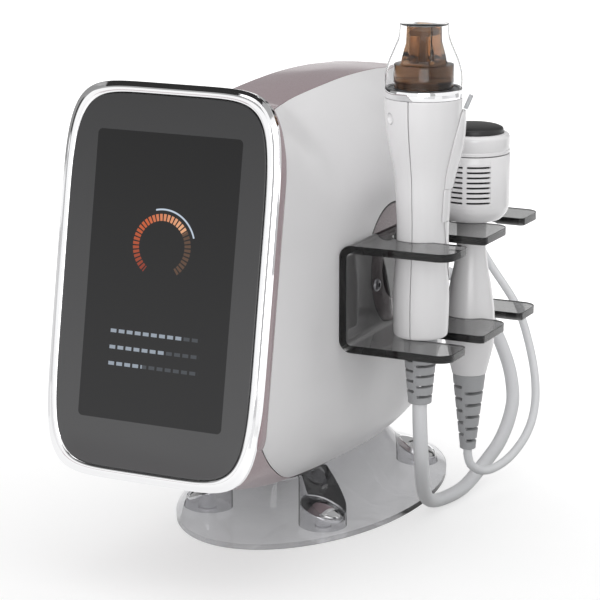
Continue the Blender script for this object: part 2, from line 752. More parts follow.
def build_base(looks):
    turns = [math.tau * (k + 0.5) / BASE_STEPS for k in range(BASE_STEPS)]
    rim = [Vector((BASE_HALF_WIDTH * math.cos(t), BASE_HALF_LENGTH * math.sin(t))) for t in turns]
    seat = [seat_point(t) for t in turns]
    rings = [[(*p, 0.0) for p in rim]]
    for inward, climb in FLARE_SHARES:
        height = BASE_EDGE + (SEAT_Z - BASE_EDGE) * climb
        rings.append([(*a.lerp(b, inward), height) for a, b in zip(rim, seat)])
    base = skin("clear_base", rings, looks["clear"])
    cutters = []
    for side in (-1, 1):
        for end in (-1, 1):
            centre = (side * FOOT_X, end * FOOT_Y)
            ring = circle(FOOT_RADIUS + GAP, SMALL_STEPS, centre)
            cutters.append(prism("bore", ring, FOOT_FLOOR, SEAT_Z, None))
            stem = circle(FOOT_STEM_RADIUS + GAP, SMALL_STEPS, centre)
            cutters.append(prism("stem_bore", stem, -OVERRUN, FOOT_FLOOR + OVERRUN, None))
    bores = cutters[0::2]
    stems = cutters[1::2]
    boolean(base, joined("foot_bores", bores))
    boolean(base, joined("foot_stem_bores", stems))
    pad_turns = [math.tau * (k + 0.5) / LARGE_STEPS for k in range(LARGE_STEPS)]
    outline = [seat_point(t, PAD_INSET) for t in pad_turns]
    prism("seat_pad", outline, SEAT_Z + GAP, SEAT_Z + PAD_THICKNESS, looks["black"])


def build_feet(looks):
    """Chrome plugs: a stem through the base's floor and a domed top that leans with the flare."""
    steps = SMALL_STEPS
    for side, side_name in ((-1, "left"), (1, "right")):
        for end, end_name in ((-1, "front"), (1, "rear")):
            x = side * FOOT_X
            y = end * FOOT_Y

            def lean(radius, turn, height):
                outward = side * math.cos(turn) * radius
                return (x + math.cos(turn) * radius, y + math.sin(turn) * radius,
                        height - FOOT_LEAN * outward)

            rows = [(FOOT_STEM_RADIUS, GAP, False), (FOOT_STEM_RADIUS, FOOT_TOP - FOOT_RIM, True)]
            rows += [(FOOT_RADIUS, FOOT_TOP - FOOT_RIM, True), (FOOT_RADIUS, FOOT_TOP, True)]
            for share in (0.80, 0.45):
                crown = FOOT_TOP + FOOT_CROWN * (1 - share**2)
                rows.append((FOOT_RADIUS * share, crown, True))
            rings = []
            for radius, height, leaning in rows:
                turns = [math.tau * k / steps for k in range(steps)]
                if leaning:
                    rings.append([lean(radius, t, height) for t in turns])
                else:
                    rings.append([(x + math.cos(t) * radius, y + math.sin(t) * radius,
                                   height) for t in turns])
            skin(f"foot_plug_{end_name}_{side_name}", rings, looks["chrome"])


def build_holder(looks):
    """One sheet bent twice into a channel, with three fingers on each shelf."""
    web = BODY_HALF_WIDTH + GAP
    low = HOLDER_LOW_SHELF - HOLDER_THICKNESS
    inside = HOLDER_BEND - HOLDER_THICKNESS
    end = HOLDER_REACH + OVERRUN
    outline = filleted([
        (end, low, 0), (end, HOLDER_LOW_SHELF, 0),
        (web + HOLDER_THICKNESS, HOLDER_LOW_SHELF, inside),
        (web + HOLDER_THICKNESS, HOLDER_TOP - HOLDER_THICKNESS, inside),
        (end, HOLDER_TOP - HOLDER_THICKNESS, 0), (end, HOLDER_TOP, 0),
        (web, HOLDER_TOP, HOLDER_BEND), (web, low, HOLDER_BEND),
    ])
    holder = prism("handpiece_holder", outline, HOLDER_FRONT - OVERRUN, HOLDER_BACK + OVERRUN,
                   looks["smoke"], axis="Y")
    start = web - OVERRUN
    corner = HOLDER_CORNER
    plan = filleted([
        (start, HOLDER_FRONT, 0), (HOLDER_REACH, HOLDER_FRONT, corner),
        (HOLDER_REACH, NEEDLE_Y - NEEDLE_MOUTH_HALF, corner / 2),
        (NEEDLE_X, NEEDLE_Y - NEEDLE_MOUTH_HALF, 0),
        (NEEDLE_X, NEEDLE_Y + NEEDLE_MOUTH_HALF, 0),
        (HOLDER_REACH, NEEDLE_Y + NEEDLE_MOUTH_HALF, corner / 3),
        (HOLDER_REACH, COOLING_Y - COOLING_MOUTH_HALF, corner),
        (COOLING_X, COOLING_Y - COOLING_MOUTH_HALF, 0),
        (COOLING_X, COOLING_Y + COOLING_MOUTH_HALF, 0),
        (HOLDER_REACH, COOLING_Y + COOLING_MOUTH_HALF, corner / 3),
        (HOLDER_REACH, HOLDER_BACK, corner), (start, HOLDER_BACK, 0),
    ])
    sheet = prism("holder_plan", plan, low - OVERRUN, HOLDER_TOP + OVERRUN, None)
    boolean(holder, sheet, "INTERSECT")
    for name, x, y, radius, mouth, top in (
        ("needle_top", NEEDLE_X, NEEDLE_Y, NEEDLE_TOP_HOLE, NEEDLE_MOUTH_HALF, HOLDER_TOP),
        ("needle_low", NEEDLE_X, NEEDLE_Y, NEEDLE_LOW_HOLE, NEEDLE_MOUTH_HALF, HOLDER_LOW_SHELF),
        ("cooling_top", COOLING_X, COOLING_Y, COOLING_TOP_HOLE, COOLING_MOUTH_HALF, HOLDER_TOP),
        ("cooling_low", COOLING_X, COOLING_Y, COOLING_LOW_HOLE, COOLING_MOUTH_HALF, HOLDER_LOW_SHELF),
    ):
        hole = prism(name + "_hole", circle(radius, LARGE_STEPS, (x, y)),
                     top - HOLDER_THICKNESS - OVERRUN / 2,
                     top + OVERRUN / 2, None)
        boolean(holder, hole)
    for tag, y in (("front", NEEDLE_Y), ("rear", COOLING_Y)):
        middle = (HOLDER_TOP + HOLDER_LOW_SHELF - HOLDER_THICKNESS) / 2
        face = web + HOLDER_THICKNESS + GAP
        shape = ((0.0, face), (HOLDER_SCREW_RADIUS, face),
                 (HOLDER_SCREW_RADIUS, face + HOLDER_SCREW_HEAD / 3),
                 (0.6 * HOLDER_SCREW_RADIUS, face + HOLDER_SCREW_HEAD), (0.0, face + HOLDER_SCREW_HEAD))
        screw = turned("holder_screw_" + tag, shape, looks["steel"], steps=SMALL_STEPS)
        screw.matrix_world = Matrix.Translation((0, y, middle)) @ Matrix.Rotation(math.pi / 2, 4, "Y")


# Outer form of the needle handpiece: share of its height, share of its head's radius
GRIP_SHARES = (
    (0.0, 0.690), (0.018, 0.714), (0.07, 0.727), (0.14, 0.735), (0.20, 0.727), (0.28, 0.695), (0.345, 0.672),
    (0.42, 0.653), (0.50, 0.659), (0.57, 0.686), (0.665, 0.722), (0.737, 0.796), (0.812, 0.890),
    (0.902, 0.976), (0.975, 1.0), (1.0, 1.0),
)


def grip_radius(z):
    share = (z - NEEDLE_FOOT) / (NEEDLE_RING_LOW - NEEDLE_FOOT)
    return blend_of(GRIP_SHARES, share) * NEEDLE_HEAD_RADIUS


def build_grips(looks, parent):
    """Two half shells that meet at a seam down the front and the back."""
    span = NEEDLE_RING_LOW - NEEDLE_FOOT
    heights = [NEEDLE_FOOT + span * share for share, _ in GRIP_SHARES]
    outer = [(grip_radius(z), z) for z in heights]
    floor = NEEDLE_FOOT + NEEDLE_WALL
    inner = [(r - NEEDLE_WALL, z) for r, z in reversed(outer) if z > floor]
    collar = NEEDLE_RELIEF_RADIUS + GAP
    profile = [(collar, NEEDLE_FOOT), *outer, *inner, (inner[-1][0], floor), (collar, floor)]
    halves = {}
    part = GAP / NEEDLE_HEAD_RADIUS
    for name, start in (("needle_grip_right", 0.0), ("needle_grip_left", -math.pi)):
        halves[name] = turned(name, profile, looks["white"], parent, SMALL_STEPS - 3, start + part,
                              math.pi - 2 * part)
    direction = Vector((math.sin(BUTTON_ANGLE), -math.cos(BUTTON_ANGLE), 0))
    turn = direction.to_track_quat("Z", "Y").to_matrix().to_4x4()
    place = Matrix.Translation((0, 0, BUTTON_Z)) @ turn
    hole = prism("button_hole", circle(BUTTON_RADIUS + GAP, SMALL_STEPS), 0.5 * NEEDLE_HEAD_RADIUS,
                 NEEDLE_HEAD_RADIUS + OVERRUN, None, parent)
    hole.matrix_basis = place
    boolean(halves["needle_grip_left"], hole)
    face = grip_radius(BUTTON_Z) * 0.988
    shape = ((0.0, face - BUTTON_LENGTH), (BUTTON_RADIUS, face - BUTTON_LENGTH), (BUTTON_RADIUS, face - GAP),
             (0.8 * BUTTON_RADIUS, face), (0.5 * BUTTON_RADIUS, face - GAP), (0.0, face - 2 * GAP))
    button = turned("push_button", shape, looks["white"], parent, SMALL_STEPS)
    button.matrix_basis = place


def cover_patch(name, low, high, half_angle, proud, look, parent, rows=10, columns=9):
    """A cover that lies on the grip: its width and height above it follow the two given functions."""
    outer = []
    inner = []
    for r in range(rows + 1):
        share = r / rows
        z = low + (high - low) * share
        seat = grip_radius(z) + GAP
        outer_row = []
        inner_row = []
        for c in range(columns + 1):
            across = 2 * c / columns - 1
            angle = COVER_ANGLE + across * half_angle(share)
            radius = seat + proud(share, across)
            direction = (math.sin(angle), -math.cos(angle))
            outer_row.append((direction[0] * radius, direction[1] * radius, z))
            inner_row.append((direction[0] * seat, direction[1] * seat, z))
        outer.append(outer_row)
        inner.append(inner_row)
    rings = [o + list(reversed(i)) for o, i in zip(outer, inner)]
    return skin(name, rings, look, parent)


def build_tube_cover(looks, parent):
    """Fairing of the suction tube, the hatch under it, and the tail that runs out below."""

    def leaf(share):
        return COVER_HALF_ANGLE * (0.30 + 0.70 * (1 - share**2.2) ** 0.5)

    def bulge(share, across):
        rise = math.sin(math.pi * (0.14 + 0.72 * share)) ** 1.2
        return HATCH_THICKNESS + (COVER_PROUD - HATCH_THICKNESS) * rise * (1 - across**4)

    cover_patch("tube_fairing", HATCH_TOP + GAP, COVER_TOP, leaf, bulge, looks["white"], parent, 8, 6)
    cover_patch("fairing_hatch", HATCH_LOW, HATCH_TOP, lambda s: HATCH_HALF_ANGLE,
                lambda s, a: HATCH_THICKNESS, looks["white"], parent, 1, 6)
    cover_patch("fairing_tail", TAIL_LOW, HATCH_LOW - GAP, lambda s: COVER_HALF_ANGLE * (0.25 + 0.6 * s),
                lambda s, a: HATCH_THICKNESS * (0.5 + 0.5 * s) * (1 - 0.3 * a * a), looks["white"],
                parent, 4, 4)
    seat = grip_radius(COVER_TOP) + TUBE_RADIUS + 2 * GAP
    lean = Vector((math.sin(COVER_ANGLE), -math.cos(COVER_ANGLE), 0))
    shape = ((0.0, 0.0), (TUBE_RADIUS, 0.0), (TUBE_RADIUS, TUBE_LENGTH), (0.0, TUBE_LENGTH))
    tube = turned("suction_tube_stub", shape, looks["clear"], parent, 8)
    rise = (Vector((0, 0, 1)) + TUBE_LEAN_SHARE * lean).to_track_quat("Z", "Y").to_matrix().to_4x4()
    tube.matrix_basis = Matrix.Translation(lean * seat + Vector((0, 0, COVER_TOP + 3 * GAP))) @ rise


def relief_profile(radius, tip_radius, top, tip, head):
    """A tapered sleeve round a cord, with a flange at its top that the housing holds."""
    bore = 0.55 * tip_radius
    return ((bore, top), (bore, tip), (tip_radius, tip), (tip_radius, tip + 0.04 * (top - tip)),
            (radius, top - head), (radius, top))


def slot_relief(relief, radius, tip_radius, top, tip, count, parent):
    """Cuts slots by turns from the left and the right, so that the sleeve bends with the cord."""
    pitch = (top - tip) / (count + 1)
    cutters = []
    for k in range(count):
        for side, shift in ((-1, 0.0), (1, 0.5)):
            z = top - pitch * (k + 0.75 + shift)
            if z < tip + 0.4 * pitch:
                continue
            here = tip_radius + (radius - tip_radius) * (z - tip) / (top - tip)
            low = (side * (here * 0.74), -here - OVERRUN, z - pitch * 0.11)
            high = (side * (here + OVERRUN), here + OVERRUN, z + pitch * 0.11)
            ends = sorted((low[0], high[0]))
            cutters.append(block("slot", (ends[0], low[1], low[2]), (ends[1], high[1], high[2]), None))
    cutter = joined(relief.name + "_slots", cutters)
    cutter.parent = parent
    boolean(relief, cutter)


def build_needle_handpiece(looks, parent):
    build_grips(looks, parent)
    build_tube_cover(looks, parent)
    ring_inner = NEEDLE_DECK_RADIUS - NEEDLE_WALL
    low = NEEDLE_RING_LOW + GAP
    shelf = NEEDLE_RING_TOP - NEEDLE_DECK_THICKNESS - GAP
    profile = ((ring_inner, low), (NEEDLE_HEAD_RADIUS, low), (NEEDLE_HEAD_RADIUS, NEEDLE_RING_TOP),
               (NEEDLE_DECK_RADIUS + GAP, NEEDLE_RING_TOP), (NEEDLE_DECK_RADIUS + GAP, shelf),
               (ring_inner, shelf))
    turned("needle_chrome_ring", profile, looks["chrome"], parent, LARGE_STEPS)
    deck = ((0.0, shelf + GAP), (NEEDLE_DECK_RADIUS, shelf + GAP), (NEEDLE_DECK_RADIUS, NEEDLE_RING_TOP),
            (0.0, NEEDLE_RING_TOP))
    turned("needle_top_deck", deck, looks["dark"], parent, LARGE_STEPS)
    motor_low = MOTOR_TOP - MOTOR_LENGTH
    pin = 0.2 * MOTOR_RADIUS
    top = shelf - GAP
    motor = ((0.0, motor_low), (MOTOR_RADIUS, motor_low), (MOTOR_RADIUS, MOTOR_TOP), (pin, MOTOR_TOP),
             (pin, top), (0.0, top))
    turned("needle_drive_motor", motor, looks["steel"], parent, SMALL_STEPS)
    relief_top = NEEDLE_FOOT + 2 * NEEDLE_WALL
    sleeve = relief_profile(NEEDLE_RELIEF_RADIUS, NEEDLE_RELIEF_TIP_RADIUS, relief_top, NEEDLE_RELIEF_TIP,
                            relief_top - HOLDER_LOW_SHELF + 2 * HOLDER_THICKNESS)
    relief = turned("needle_strain_relief", sleeve, looks["grey"], parent, SMALL_STEPS)
    slot_relief(relief, NEEDLE_RELIEF_RADIUS, NEEDLE_RELIEF_TIP_RADIUS,
                HOLDER_LOW_SHELF - 2 * HOLDER_THICKNESS, NEEDLE_RELIEF_TIP, 4, parent)


def build_cartridge(looks, parent):
    """Screw-on needle cartridge: a round foot, a square tip open at its top, and the needle plate."""
    steps = LARGE_STEPS
    turns = [math.tau * (k + 0.5) / steps for k in range(steps)]

    def square(half, turn):
        a = math.cos(turn)
        b = math.sin(turn)
        reach = half / max(abs(a), abs(b))
        return (reach * a, reach * b)

    rings = [[(CARTRIDGE_RADIUS * math.cos(t), CARTRIDGE_RADIUS * math.sin(t), z) for t in turns]
             for z in (CARTRIDGE_LOW, CARTRIDGE_TOP)]
    shoulder = 0.45 * CARTRIDGE_TOP + 0.55 * TIP_TOP
    tip_steps = ((1.30, CARTRIDGE_TOP + 0.3 * (shoulder - CARTRIDGE_TOP)), (1.04, shoulder), (1.0, TIP_TOP))
    for share, z in tip_steps:
        rings.append([(*square(TIP_HALF * share, t), z) for t in turns])
    body = skin("needle_cartridge", rings, looks["amber"], parent)
    hollow_half = TIP_HALF - TIP_WALL
    hollow = block("tip_hollow", (-hollow_half, -hollow_half, CARTRIDGE_TOP),
                   (hollow_half, hollow_half, TIP_TOP + OVERRUN), None, parent)
    boolean(body, hollow)
    plate_half = hollow_half - GAP
    plate_low = TIP_TOP - PLATE_TRAVEL - PLATE_THICKNESS - GAP
    stem = 0.25 * TIP_HALF
    outline_low = CARTRIDGE_TOP + GAP
    rings = [[(*square(stem, t), outline_low) for t in turns], [(*square(stem, t), plate_low) for t in turns],
             [(*square(plate_half, t), plate_low) for t in turns],
             [(*square(plate_half, t), plate_low + PLATE_THICKNESS) for t in turns]]
    skin("needle_plate", rings, looks["steel"], parent)


# Outer form of the clear cap: share of its height, share of the head's radius
CAP_SHARES = ((0.0, 0.985), (0.10, 0.995), (0.24, 0.98), (0.42, 0.90), (0.60, 0.775), (0.77, 0.665),
              (0.90, 0.642), (1.0, 0.636))


def build_cap(looks, parent):
    low = NEEDLE_RING_TOP + GAP
    span = CAP_TOP - low
    outer = [(NEEDLE_HEAD_RADIUS * r, low + span * s) for s, r in CAP_SHARES]
    inner = [(r - CAP_WALL, min(z, CAP_TOP - CAP_WALL)) for r, z in reversed(outer)]
    profile = [*outer, (0.0, CAP_TOP), (0.0, CAP_TOP - CAP_WALL), *inner]
    turned("clear_cap", profile, looks["clear"], parent, LARGE_STEPS)


# Outer form of the cooling handpiece's head and handle: share of the height, share of the radius
HEAD_SHARES = ((0.0, 0.76), (0.035, 0.835), (0.094, 0.919), (0.155, 0.972), (0.225, 1.0), (1.0, 1.0))
HANDLE_SHARES = ((0.0, 0.690), (0.014, 0.712), (0.094, 0.842), (0.183, 0.970), (0.280, 1.0), (0.400, 0.976),
                 (0.556, 0.842), (0.684, 0.685), (0.828, 0.582), (0.95, 0.620), (1.0, 0.645))
HANDLE_RADIUS = 0.0165


def build_cooling_handpiece(looks, parent):
    span = HEAD_SEAM - HEAD_LOW
    outer = [(HEAD_RADIUS * r, HEAD_LOW + span * s) for s, r in HEAD_SHARES]
    floor = HEAD_LOW + COOLING_WALL
    inner = [(r - COOLING_WALL, max(z, floor)) for r, z in reversed(outer)]
    collar = NECK_RADIUS + 2 * COOLING_WALL
    profile = [(collar, HEAD_LOW), *outer, *inner[:-1], (collar, floor)]
    head = turned("cooling_head_shell", profile, looks["white"], parent, LARGE_STEPS)
    cutters = []
    for start in VENT_STARTS:
        for row in range(VENT_ROWS):
            z = VENT_TOP - row * VENT_PITCH
            slot = ((HEAD_RADIUS - COOLING_WALL - OVERRUN / 2, z - VENT_HEIGHT / 2),
                    (HEAD_RADIUS + OVERRUN, z - VENT_HEIGHT / 2),
                    (HEAD_RADIUS + OVERRUN, z + VENT_HEIGHT / 2),
                    (HEAD_RADIUS - COOLING_WALL - OVERRUN / 2, z + VENT_HEIGHT / 2))
            cutters.append(turned("vent", slot, None, None, 2, start, VENT_SPAN))
    cutter = joined("vent_slots", cutters)
    cutter.parent = parent
    boolean(head, cutter)
    low = HEAD_SEAM + SEAM
    dome_seat = RIM_TOP - COOLING_WALL
    lip = DOME_RADIUS - COOLING_WALL
    profile = ((lip, low), (HEAD_RADIUS - GAP, low), (HEAD_RADIUS - GAP, low + 0.15 * (RIM_TOP - low)),
               (RIM_RADIUS, low + 0.2 * (RIM_TOP - low)), (RIM_RADIUS, low + 0.8 * (RIM_TOP - low)),
               (0.95 * RIM_RADIUS, low + 0.95 * (RIM_TOP - low)), (0.88 * RIM_RADIUS, RIM_TOP),
               (DOME_RADIUS + GAP, RIM_TOP), (DOME_RADIUS + GAP, dome_seat), (lip, dome_seat))
    turned("cooling_rim_ring", profile, looks["white"], parent, LARGE_STEPS)
    rise = DOME_TOP - dome_seat - GAP
    base = dome_seat + GAP
    dome = ((0.0, base), (DOME_RADIUS, base), (DOME_RADIUS, base + 0.45 * rise),
            (0.96 * DOME_RADIUS, base + 0.70 * rise), (0.78 * DOME_RADIUS, base + 0.88 * rise),
            (0.45 * DOME_RADIUS, base + 0.98 * rise), (0.0, DOME_TOP))
    turned("cold_dome", dome, looks["black"], parent, LARGE_STEPS)
    handle_span = HEAD_LOW + COOLING_WALL - HANDLE_LOW
    outer = [(HANDLE_RADIUS * r, HANDLE_LOW + handle_span * s) for s, r in HANDLE_SHARES]
    outer = [(r, z) for r, z in outer if z < HEAD_LOW]
    top = HEAD_LOW + COOLING_WALL + GAP
    spigot = collar - GAP
    outer += [(spigot, HEAD_LOW - GAP), (spigot, top), (spigot + COOLING_WALL, top),
              (spigot + COOLING_WALL, top + COOLING_WALL)]
    inner = [(r - COOLING_WALL, z) for r, z in reversed(outer) if z < HEAD_LOW - COOLING_WALL]
    bore = inner[0][0]
    profile = [*outer, (bore, top + COOLING_WALL), *inner]
    turned("cooling_handle", profile, looks["white"], parent, SMALL_STEPS + 2)
    sleeve = relief_profile(COOLING_RELIEF_RADIUS, COOLING_RELIEF_TIP_RADIUS, HANDLE_LOW - GAP,
                            COOLING_RELIEF_TIP, COOLING_WALL)
    relief = turned("cooling_strain_relief", sleeve, looks["grey"], parent, SMALL_STEPS)
    slot_relief(relief, COOLING_RELIEF_RADIUS, COOLING_RELIEF_TIP_RADIUS, HANDLE_LOW - COOLING_WALL,
                COOLING_RELIEF_TIP, 5, parent)
    build_heat_sink(looks, parent, top + COOLING_WALL + GAP, dome_seat - GAP)


def build_heat_sink(looks, parent, low, high):
    """Finned core that fills the head behind the vents, with the cooler and its plate on top."""
    cooler_top = high
    core_top = cooler_top - COOLER_THICKNESS - GAP
    fins = []
    pitch = (core_top - low) / SINK_FINS
    for k in range(SINK_FINS):
        bottom = low + k * pitch
        radius = SINK_RADIUS if bottom > low + 2 * pitch else 0.8 * SINK_RADIUS
        fins += [(SINK_CORE, bottom), (radius, bottom), (radius, bottom + SINK_FIN_THICKNESS),
                 (SINK_CORE, bottom + SINK_FIN_THICKNESS)]
    profile = [(0.0, low), *fins, (SINK_CORE, core_top), (0.0, core_top)]
    turned("cooling_heat_sink", profile, looks["steel"], parent, SMALL_STEPS - 2)
    block("thermoelectric_cooler", (-COOLER_HALF, -COOLER_HALF, core_top + GAP),
          (COOLER_HALF, COOLER_HALF, cooler_top), looks["white"], parent)


# Routes of the two cords, chosen by hand: from the strain relief down beside the base, and up
# to the plug on the rear panel. Both ends of a route follow the pieces that hold them
NEEDLE_ROUTE = (
    (0.1122, -0.0780, 0.0931),
    (0.1122, -0.0778, 0.0880), (0.1120, -0.0760, 0.0740), (0.1105, -0.0700, 0.0560),
    (0.1050, -0.0550, 0.0365), (0.0990, -0.0370, 0.0215), (0.0950, -0.0190, 0.0110),
    (0.0945, -0.0040, 0.0062),
    (0.0975, 0.0100, 0.0055), (0.0995, 0.0260, 0.0058), (0.0995, 0.0420, 0.0070), (0.1000, 0.0570, 0.0105),
    (0.1020, 0.0700, 0.0160), (0.1050, 0.0810, 0.0235), (0.1068, 0.0900, 0.0320), (0.1075, 0.0980, 0.0415),
    (0.1068, 0.1050, 0.0515), (0.1035, 0.1110, 0.0625), (0.0990, 0.1160, 0.0725), (0.0935, 0.1200, 0.0820),
    (0.0868, 0.1250, 0.0910), (0.0780, 0.1325, 0.0990), (0.0680, 0.1420, 0.1060), (0.0580, 0.1530, 0.1120),
    (0.0475, 0.1630, 0.1170), (0.0380, 0.1655, 0.1215), (0.0310, 0.1620, 0.1252),
    (0.0280, 0.1513, 0.1280),
)
COOLING_ROUTE = (
    (0.1181, -0.0084, 0.0439),
    (0.1195, -0.0060, 0.0360), (0.1225, 0.0020, 0.0300),
    (0.1258, 0.0110, 0.0280), (0.1290, 0.0200, 0.0287), (0.1325, 0.0280, 0.0315), (0.1356, 0.0355, 0.0360),
    (0.1384, 0.0430, 0.0421), (0.1401, 0.0500, 0.0492), (0.1404, 0.0565, 0.0567), (0.1394, 0.0630, 0.0657),
    (0.1370, 0.0690, 0.0750), (0.1335, 0.0750, 0.0842), (0.1290, 0.0810, 0.0934), (0.1235, 0.0875, 0.1030),
    (0.1165, 0.0945, 0.1140), (0.1080, 0.1010, 0.1245), (0.0980, 0.1075, 0.1335), (0.0880, 0.1140, 0.1415),
    (0.0785, 0.1205, 0.1495), (0.0695, 0.1290, 0.1565), (0.0580, 0.1430, 0.1635), (0.0500, 0.1540, 0.1680),
    (0.0450, 0.1600, 0.1700), (0.0380, 0.1620, 0.1712), (0.0315, 0.1590, 0.1718),
    (0.0280, 0.1513, 0.1720),
)


def smooth_route(points, count):
    """Evenly spaced points on one smooth curve through the route's own points."""
    places = [Vector(p) for p in points]
    fine = []
    for i in range(len(places) - 1):
        p1 = places[i]
        p2 = places[i + 1]
        p0 = places[i - 1] if i else p1 * 2 - p2
        p3 = places[i + 2] if i + 2 < len(places) else p2 * 2 - p1
        for k in range(12):
            t = k / 12
            fine.append(((p1 * 2) + (p2 - p0) * t + (p0 * 2 - p1 * 5 + p2 * 4 - p3) * t * t
                         + (p1 * 3 - p0 - p2 * 3 + p3) * t**3) / 2)
    fine.append(places[-1])
    runs = [0.0]
    for a, b in zip(fine, fine[1:]):
        runs.append(runs[-1] + (b - a).length)
    even = []
    i = 0
    for k in range(count):
        target = runs[-1] * k / (count - 1)
        while i < len(runs) - 2 and runs[i + 1] < target:
            i += 1
        share = (target - runs[i]) / (runs[i + 1] - runs[i])
        even.append(fine[i].lerp(fine[i + 1], share))
    return even, runs[-1]


def cord(name, top, route, radius, plug_z, count, look):
    """A cord that leaves its relief and enters its plug straight, with the route between them."""
    plug_end = BODY_REAR + PANEL_THICKNESS + SOCKET_FLANGE + PLUG_LENGTH + GAP
    start = Vector(top) - Vector((0, 0, GAP))
    end = Vector((SOCKET_X, plug_end, plug_z))
    lead = start - Vector((0, 0, CORD_LEAD))
    tail = end + Vector((0, CORD_LEAD, 0))
    places = [Vector(p) for p in route]
    lead_shift = lead - places[0]
    tail_shift = tail - places[-1]
    last = len(places) - 1
    placed = [p + lead_shift * (1 - i / last) + tail_shift * (i / last) for i, p in enumerate(places)]
    points, length = smooth_route(placed, count)
    points = [start, *points, end]
    length += 2 * CORD_LEAD
    line = bpy.data.curves.new(name, "CURVE")
    line.dimensions = "3D"
    line.bevel_depth = radius
    line.bevel_resolution = 2
    line.use_fill_caps = True
    spline = line.splines.new("POLY")
    spline.points.add(len(points) - 1)
    for spot, place in zip(spline.points, points):
        spot.co = (*place, 1.0)
    line.materials.append(look)
    obj = bpy.data.objects.new(name, line)
    bpy.context.collection.objects.link(obj)
    print(name, "is", round(length, 4), "m long")


def along_y(obj, x, y, z):
    """Lays a piece that was turned about Z along +Y at a place."""
    obj.matrix_world = Matrix.Translation((x, y, z)) @ Matrix.Rotation(-math.pi / 2, 4, "X")
    return obj


def build_sockets(looks):
    face = BODY_REAR + PANEL_THICKNESS + GAP
    for tag, z, cord_radius in (("needle", NEEDLE_SOCKET_Z, NEEDLE_CORD_RADIUS),
                                ("cooling", COOLING_SOCKET_Z, COOLING_CORD_RADIUS)):
        nose = SOCKET_NOSE
        pocket = PLUG_RADIUS - SHELL_THICKNESS
        shape = ((0.0, -nose), (pocket, -nose), (pocket, 0.0), (SOCKET_RADIUS, 0.0),
                 (SOCKET_RADIUS, SOCKET_FLANGE - GAP), (0.0, SOCKET_FLANGE - GAP))
        along_y(turned(tag + "_socket", shape, looks["steel"], steps=SMALL_STEPS), SOCKET_X, face, z)
        grip = PLUG_RADIUS
        collar = cord_radius * 1.35
        shape = ((0.0, 0.0), (grip, 0.0), (grip, 0.55 * PLUG_LENGTH), (0.9 * grip, 0.6 * PLUG_LENGTH),
                 (0.9 * grip, 0.75 * PLUG_LENGTH), (collar, 0.85 * PLUG_LENGTH), (collar, PLUG_LENGTH - GAP),
                 (0.0, PLUG_LENGTH - GAP))
        along_y(turned(tag + "_cord_plug", shape, looks["steel"], steps=SMALL_STEPS), SOCKET_X,
                face + SOCKET_FLANGE, z)


def build_rear(looks):
    """Service panel in the rear opening, with the fan, the mains inlet and its switch."""
    rear = half_section(len(SECTION_SHARES) - 1)
    right = [(p.x, p.y) for i, p in enumerate(rear) if i != TOP_SEAM + 1 and i != LOW_SEAM + 1]
    outline = right + [(-x, z) for x, z in reversed(right[1:-1])]
    face = BODY_REAR + GAP
    panel = prism("rear_panel", outline, face, face + PANEL_THICKNESS - GAP, looks["white"], axis="Y")
    cutters = []
    back = face - OVERRUN
    front = face + PANEL_THICKNESS + OVERRUN
    for z in (NEEDLE_SOCKET_Z, COOLING_SOCKET_Z):
        bore = PLUG_RADIUS - SHELL_THICKNESS + GAP
        cutters.append(prism("socket_bore", circle(bore, SMALL_STEPS, (SOCKET_X, z)), back, front, None,
                             axis="Y"))
    slot_pitch = 2 * FAN_HALF / 7
    for k in range(6):
        z = FAN_Z - FAN_HALF + slot_pitch * (k + 1)
        half = math.sqrt(max((0.92 * FAN_HALF) ** 2 - (z - FAN_Z) ** 2, 0.0))
        ends = [(FAN_X - half, z), (FAN_X + half, z)]
        slot = [(ends[0][0], z - slot_pitch / 4), (ends[1][0], z - slot_pitch / 4),
                (ends[1][0], z + slot_pitch / 4), (ends[0][0], z + slot_pitch / 4)]
        cutters.append(prism("air_slot", slot, back, front, None, axis="Y"))
    wide = INLET_HALF_WIDTH + GAP
    tall = INLET_HALF_HEIGHT + GAP
    low = (INLET_X - wide, back, INLET_Z - tall)
    high = (INLET_X + wide, front, INLET_Z + tall)
    cutters.append(block("inlet_hole", low, high, None))
    wide = SWITCH_HALF_WIDTH + GAP
    tall = SWITCH_HALF_HEIGHT + GAP
    low = (INLET_X - wide, back, SWITCH_Z - tall)
    high = (INLET_X + wide, front, SWITCH_Z + tall)
    cutters.append(block("switch_hole", low, high, None))
    boolean(panel, joined("rear_panel_holes", cutters))
    build_inlet(looks, face)
    build_fan(looks, face)


